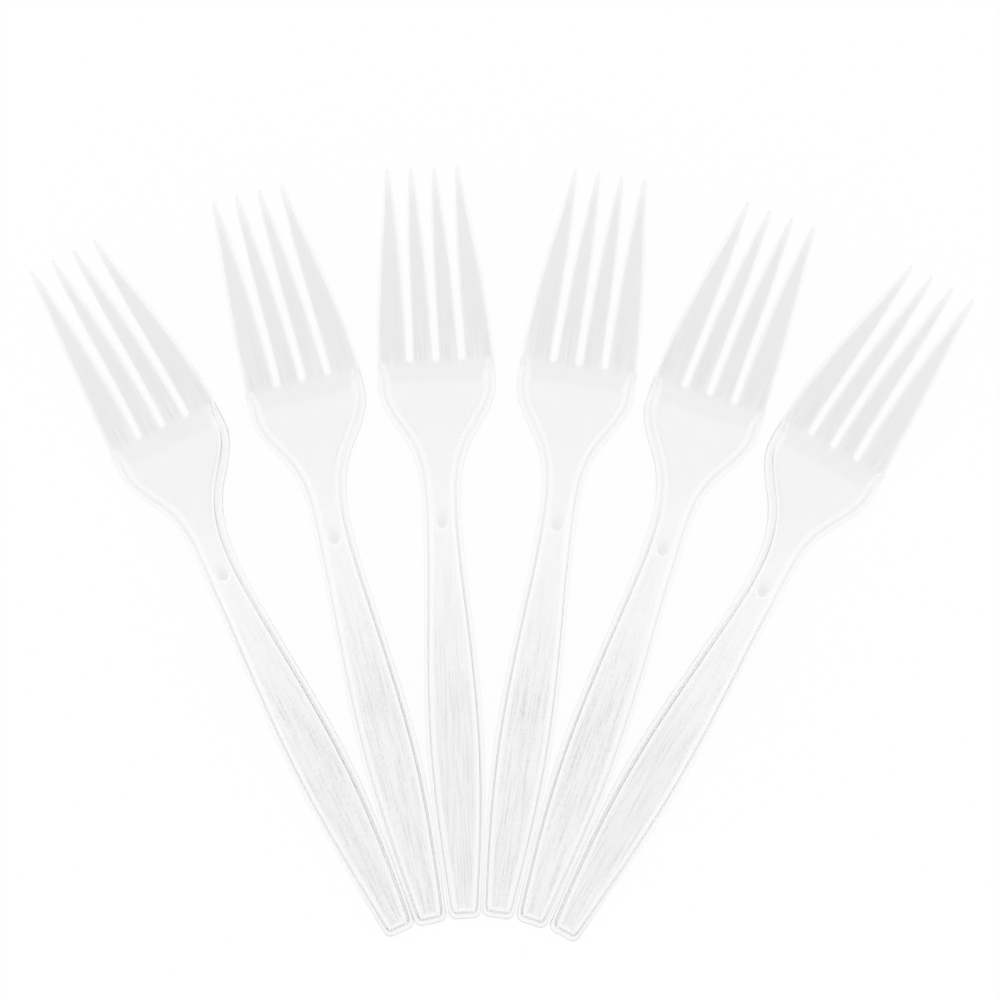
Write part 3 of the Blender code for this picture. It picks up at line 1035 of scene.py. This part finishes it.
def clear_plastic(number):
    """Clear plastic for one fork, with its own streaks, its painted shade and a painted highlight at the
    neck's mark.
    """
    material = bpy.data.materials.new(f"clear_plastic_{number}")
    look = Finish(material)
    edge_in, along, blend = (look.attribute(label) for label in ("edge_in", "along", "tine_blend"))
    texture = streaked(look, along, *fork_marks(look, number))
    mark, painted_highlight_arc = neck_mark(look, along)
    late = look.ramp(blend, *LATE_BLEND)
    on_face = look.mix(late, look.ramp(edge_in, FACE_START, PANEL_START),
                       look.ramp(look.attribute("draft_in"), *TINE_FACE))
    # The face's tone is the painted shade along the fork, with the mould's streaks and grain on it
    face = look.plus(look.tones(look.times(along, 1 / TIP), PAINTED_FACE_SHADES), texture)
    # The mark's painted shade, and its painted highlight, which is pure white
    face = look.mix(painted_highlight_arc, look.plus(face, look.times(mark, MARK_SHADE_TONE)), 1.0)
    tone = look.mix(on_face, painted_edge_shade(look, edge_in, along, late), face)
    tone = look.math("MINIMUM", tone, 1.0)

    shader = look.tree.nodes["Principled BSDF"]
    look.put(look.box("ShaderNodeCombineColor", i0=tone, i1=tone, i2=tone), shader.inputs["Base Color"])
    look.put(roughness(look, edge_in, blend, on_face, painted_highlight_arc), shader.inputs["Roughness"])
    shader.inputs["IOR"].default_value = REFRACTION
    shader.inputs["Transmission Weight"].default_value = 1.0
    bump = look.box("ShaderNodeBump", Strength=BUMP_STRENGTH, Distance=BUMP_DEPTH,
                    Height=look.times(texture, on_face))
    look.put(bump, shader.inputs["Normal"])
    return material


plastics = [clear_plastic(number) for number in range(1, 7)]
print("materials:", [plastic.name for plastic in plastics])

# %% [markdown]
# ## Lay the forks down
#
# All six forks are the same mesh, so laying them down is a job for instances: one point, one copy, one
# turn. The tree then makes the copy real and gives it its plastic. The frame says where each fork goes:
# the place that the curves start from is laid on the handle end of its plain solid, which is the
# solid's lowest point along the fork's own direction.

# %% A tree that lays one fork
def lay_tree():
    """Puts one copy of a fork at a place, turned."""
    inputs = [("Fork", "Geometry"), ("Turn", "Float"), ("Place", "Vector"), ("Plastic", "Material")]
    rule = Tree("lay_in_fan", "GeometryNodeTree", inputs, [("Fork", "Geometry")])
    spot = rule.box("GeometryNodePoints", Count=1, Position=rule.given["Place"])
    turned = rule.box("ShaderNodeCombineXYZ", Z=rule.times(rule.given["Turn"], -1.0))
    single = rule.box("GeometryNodeGeometryToInstance", i0=rule.given["Fork"])
    copy = rule.box("GeometryNodeInstanceOnPoints", Points=spot, Instance=single, Rotation=turned)
    real = rule.box("GeometryNodeRealizeInstances", Geometry=copy)
    painted = rule.box("GeometryNodeSetMaterial", Geometry=real, Material=rule.given["Plastic"])
    rule.put(painted, rule.result["Fork"])
    return rule.tree


lay = lay_tree()
print("boxes in the laying tree:", len(lay.nodes))

# %% The fan
FAN_TURNS_DEG = (-25.3, -13.4, -3.0, 8.4, 18.7, 29.0)


def handle_end(node, turn):
    """Where a solid's handle end lies, from its vertices."""
    corners = np.array([vertex.co[:2] for vertex in frame["nodes"][node].data.vertices])
    forward = np.array((math.sin(turn), math.cos(turn)))
    across = np.array((math.cos(turn), -math.sin(turn)))
    sides = corners @ across
    return forward * (corners @ forward).min() + across * (sides.min() + sides.max()) / 2


fork.shade_smooth()
for number, turn_deg in enumerate(FAN_TURNS_DEG, start=1):
    node = f"fork_{number}"
    turn = math.radians(turn_deg)
    place = handle_end(node, turn)
    values = {"Turn": turn, "Place": (*place, 0.0), "Plastic": plastics[number - 1]}
    laid = apply_tree(f"clear_fork_{number}", fork, lay, values)
    piece = bpy.data.objects.new(f"clear_fork_{number}", laid)
    bpy.context.scene.collection.objects.link(piece)
    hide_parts(node)
    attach(piece, "root")
    print(piece.name, "handle end in mm:", np.round(place / MM, 1), "faces:", len(laid.polygons))

# %% [markdown]
# ## Table and light
#
# The forks were photographed on pure white. The table is a white surface under even light. A plain
# white surface would turn grey wherever the forks shade it, so most of what the camera sees of it is
# pure white, and only a small share keeps the forks' soft shadow. Light that has gone through the
# plastic, or off it, sees a little more of the shadow, and that is what makes the forks visible at all.

# %% Table
TABLE_SIZE = 6.0
TABLE_DROP = 0.05 * MM
WHITE_TO_CAMERA = 0.95
WHITE_THROUGH_PLASTIC = 0.89


def table_material():
    """White, with a share of pure white for the camera and another for light that met the plastic."""
    material = bpy.data.materials.new("white_table")
    look = Finish(material)
    look.tree.nodes.clear()
    matt = look.tree.nodes.new("ShaderNodeBsdfDiffuse")
    matt.inputs["Color"].default_value = (1.0, 1.0, 1.0, 1.0)
    white = look.tree.nodes.new("ShaderNodeEmission")
    ray = look.tree.nodes.new("ShaderNodeLightPath").outputs
    through_plastic = look.math("MAXIMUM", ray["Is Glossy Ray"], ray["Is Transmission Ray"])
    share = look.math("MAXIMUM", look.times(ray["Is Camera Ray"], WHITE_TO_CAMERA),
                      look.times(through_plastic, WHITE_THROUGH_PLASTIC))
    mix = look.tree.nodes.new("ShaderNodeMixShader")
    out = look.tree.nodes.new("ShaderNodeOutputMaterial")
    for source, target in ((share, mix.inputs[0]), (matt.outputs[0], mix.inputs[1]),
                           (white.outputs[0], mix.inputs[2]), (mix.outputs[0], out.inputs[0])):
        look.tree.links.new(source, target)
    return material


def make_table():
    """A large flat table, a hair below the forks."""
    half = TABLE_SIZE / 2
    mesh = bpy.data.meshes.new("table")
    corners = [(x * half, y * half, -TABLE_DROP) for x, y in ((-1, -1), (1, -1), (1, 1), (-1, 1))]
    mesh.from_pydata(corners, [], [(0, 1, 2, 3)])
    mesh.materials.append(table_material())
    table = bpy.data.objects.new("table", mesh)
    bpy.context.scene.collection.objects.link(table)


make_table()
print("share of pure white:", WHITE_TO_CAMERA, "for the camera,", WHITE_THROUGH_PLASTIC, "through plastic")

# %% [markdown]
# ## Light from all round
#
# A lamp would throw a hard shadow and put a bright spot on every tine. The picture that we follow shows
# neither, so the only light here is the world itself, white from every side at strength 1. At that
# strength a colour renders about as it is written, and the white table comes out white.

# %% World
def make_world():
    """Even white light from all round, which is also what the camera sees past the table."""
    world = bpy.data.worlds.new("studio")
    bpy.context.scene.world = world
    world.use_nodes = True
    background = world.node_tree.nodes["Background"]
    background.inputs["Color"].default_value = (1.0, 1.0, 1.0, 1.0)
    background.inputs["Strength"].default_value = 1.0


make_world()
bpy.context.scene.view_settings.view_transform = "Standard"
print("view transform:", bpy.context.scene.view_settings.view_transform)
